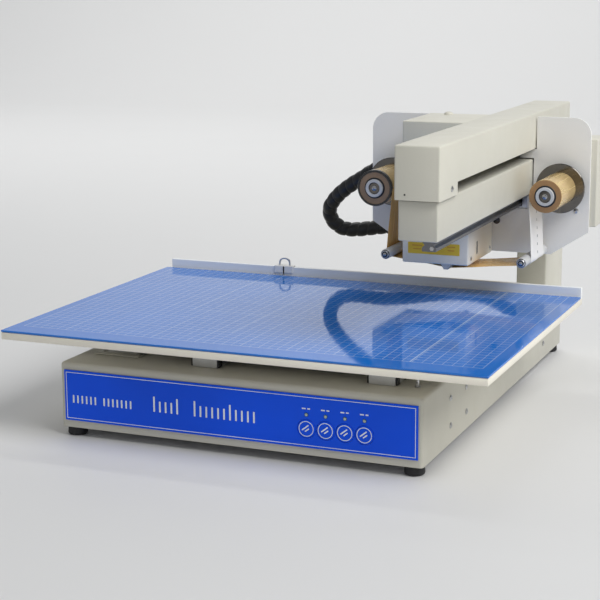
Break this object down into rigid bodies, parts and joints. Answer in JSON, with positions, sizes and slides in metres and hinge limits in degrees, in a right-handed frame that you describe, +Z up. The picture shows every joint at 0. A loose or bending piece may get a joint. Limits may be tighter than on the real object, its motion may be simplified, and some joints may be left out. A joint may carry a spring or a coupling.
{
  "type": "hot foil stamper",
  "caption": "Flatbed foil printer: a gridded sliding bed on a low base, and a cantilever arm with a carriage that presses foil from two spools.",
  "frame": {"origin": "middle of the footprint, on the surface the feet stand on", "axes": "+X to the operator's right along the bed's travel, +Y to the back along the arm, +Z up"},
  "size_m": [0.53, 0.59, 0.3174],
  "materials": {
    "cream_paint": "satin powder coat",
    "pale_paint": "satin pale blue-grey coat",
    "steel": "plain bright steel",
    "dark_steel": "oiled dark steel",
    "aluminium": "machined",
    "black_plastic": "polished black",
    "rubber": "matt",
    "panel_film": "printed polyester overlay",
    "bed_film": "glossy printed sheet",
    "white_plastic": "moulded",
    "foil": "metallised gold foil",
    "circuit": "circuit board",
    "hose_sleeve": "spiral-wrapped cable sleeve"
  },
  "bodies": {
    "base": {"base_shell": "cream_paint", "base_bottom_plate": "steel", "foot_front_left": "rubber", "foot_front_right": "rubber", "foot_rear_left": "rubber", "foot_rear_right": "rubber", "front_panel": "panel_film", "button_board": "circuit", "power_supply": "aluminium", "control_board": "circuit", "power_entry": "black_plastic", "guide_block_front_left": "aluminium", "guide_block_front_right": "aluminium", "guide_block_rear_left": "aluminium", "guide_block_rear_right": "aluminium", "bed_motor": "dark_steel", "bed_belt": "rubber", "column": "cream_paint", "arm_beam": "cream_paint", "arm_cover": "cream_paint", "arm_rail": "dark_steel", "arm_motor": "dark_steel", "arm_belt": "rubber", "carriage_hose": "hose_sleeve"},
    "bed": {"bed_plate": "cream_paint", "bed_sheet": "bed_film", "rear_fence": "cream_paint", "bed_rail_front": "dark_steel", "bed_rail_rear": "dark_steel", "bed_belt_clamp": "aluminium"},
    "fence_stop": {"fence_stop": "steel"},
    "carriage": {"carriage_plate": "pale_paint", "carriage_block": "steel", "left_spool_motor": "steel", "right_spool_motor": "steel", "left_rear_housing": "cream_paint", "right_rear_housing": "cream_paint", "left_guide_spindle": "steel", "right_guide_spindle": "steel", "foil_web": "foil", "press_housing": "cream_paint", "press_actuator": "dark_steel"},
    "head": {"head_cover": "pale_paint", "thermal_head": "aluminium", "press_crosshead": "steel"},
    "left_spool": {"left_spool_hub": "black_plastic", "left_foil_roll": "foil"},
    "right_spool": {"right_spool_hub": "black_plastic", "right_foil_roll": "foil"},
    "left_guide": {"left_guide_roller": "white_plastic"},
    "right_guide": {"right_guide_roller": "white_plastic"},
    "bed_idler": {"bed_idler_pulley": "aluminium"},
    "bed_driver": {"bed_drive_pulley": "aluminium"},
    "arm_idler": {"arm_idler_pulley": "aluminium"},
    "arm_driver": {"arm_drive_pulley": "aluminium"},
    "cancel_button": {"button_cancel": "panel_film"},
    "test_button": {"button_test": "panel_film"},
    "line_feed_button": {"button_line_feed": "panel_film"},
    "start_button": {"button_start": "panel_film"},
    "rocker": {"power_rocker": "black_plastic"}
  },
  "joints": [
    {"name": "bed_slide", "type": "slide", "parent": "base", "child": "bed", "axis": [1, 0, 0], "range_m": [-0.08, 0.185]},
    {"name": "fence_stop_slide", "type": "slide", "parent": "bed", "child": "fence_stop", "axis": [1, 0, 0], "range_m": [-0.14, 0.33]},
    {"name": "carriage_slide", "type": "slide", "parent": "base", "child": "carriage", "axis": [0, 1, 0], "range_m": [-0.25, 0.01], "deforming": ["carriage_hose"]},
    {"name": "head_press", "type": "slide", "parent": "carriage", "child": "head", "axis": [0, 0, 1], "range_m": [-0.02, 0], "deforming": ["foil_web"]},
    {"name": "right_spool_spin", "type": "hinge", "parent": "carriage", "child": "right_spool", "pos_m": [0.2258, 0.08, 0.2336], "axis": [0, 1, 0], "continuous": true},
    {"name": "left_spool_spin", "type": "hinge", "parent": "carriage", "child": "left_spool", "pos_m": [0.0262, 0.08, 0.2336], "axis": [0, 1, 0], "continuous": true},
    {"name": "left_guide_spin", "type": "hinge", "parent": "carriage", "child": "left_guide", "pos_m": [0.0465, 0.07, 0.161], "axis": [0, 1, 0], "continuous": true},
    {"name": "right_guide_spin", "type": "hinge", "parent": "carriage", "child": "right_guide", "pos_m": [0.2055, 0.07, 0.161], "axis": [0, 1, 0], "continuous": true},
    {"name": "bed_idler_spin", "type": "hinge", "parent": "base", "child": "bed_idler", "pos_m": [-0.186, -0.11, 0.088], "axis": [0, 0, 1], "range_deg": [-510, 1175]},
    {"name": "bed_driver_spin", "type": "hinge", "parent": "base", "child": "bed_driver", "pos_m": [0.164, -0.11, 0.088], "axis": [0, 0, 1], "range_deg": [-510, 1175]},
    {"name": "arm_idler_spin", "type": "hinge", "parent": "base", "child": "arm_idler", "pos_m": [0.1702, -0.222, 0.286], "axis": [0, 0, 1], "range_deg": [-1587, 67]},
    {"name": "arm_driver_spin", "type": "hinge", "parent": "base", "child": "arm_driver", "pos_m": [0.1702, 0.214, 0.286], "axis": [0, 0, 1], "range_deg": [-1587, 67]},
    {"name": "cancel_press", "type": "slide", "parent": "base", "child": "cancel_button", "axis": [0, 1, 0], "range_m": [0, 0.0008], "stiffness_N_per_m": 600},
    {"name": "test_press", "type": "slide", "parent": "base", "child": "test_button", "axis": [0, 1, 0], "range_m": [0, 0.0008], "stiffness_N_per_m": 600},
    {"name": "line_feed_press", "type": "slide", "parent": "base", "child": "line_feed_button", "axis": [0, 1, 0], "range_m": [0, 0.0008], "stiffness_N_per_m": 600},
    {"name": "start_press", "type": "slide", "parent": "base", "child": "start_button", "axis": [0, 1, 0], "range_m": [0, 0.0008], "stiffness_N_per_m": 600},
    {"name": "rocker_tilt", "type": "hinge", "parent": "base", "child": "rocker", "pos_m": [-0.115, 0.287, 0.045], "axis": [0, 0, 1], "range_deg": [0, 14]}
  ],
  "couplings": [
    {"joint": "left_spool_spin", "follows": "right_spool_spin", "ratio": 0.9024},
    {"joint": "left_guide_spin", "follows": "right_spool_spin", "ratio": -3.2456},
    {"joint": "right_guide_spin", "follows": "right_spool_spin", "ratio": -3.2456},
    {"joint": "bed_idler_spin", "follows": "bed_slide", "rad_per_m": 110.5},
    {"joint": "bed_driver_spin", "follows": "bed_slide", "rad_per_m": 110.5},
    {"joint": "arm_idler_spin", "follows": "carriage_slide", "rad_per_m": 110.5},
    {"joint": "arm_driver_spin", "follows": "carriage_slide", "rad_per_m": 110.5}
  ]
}
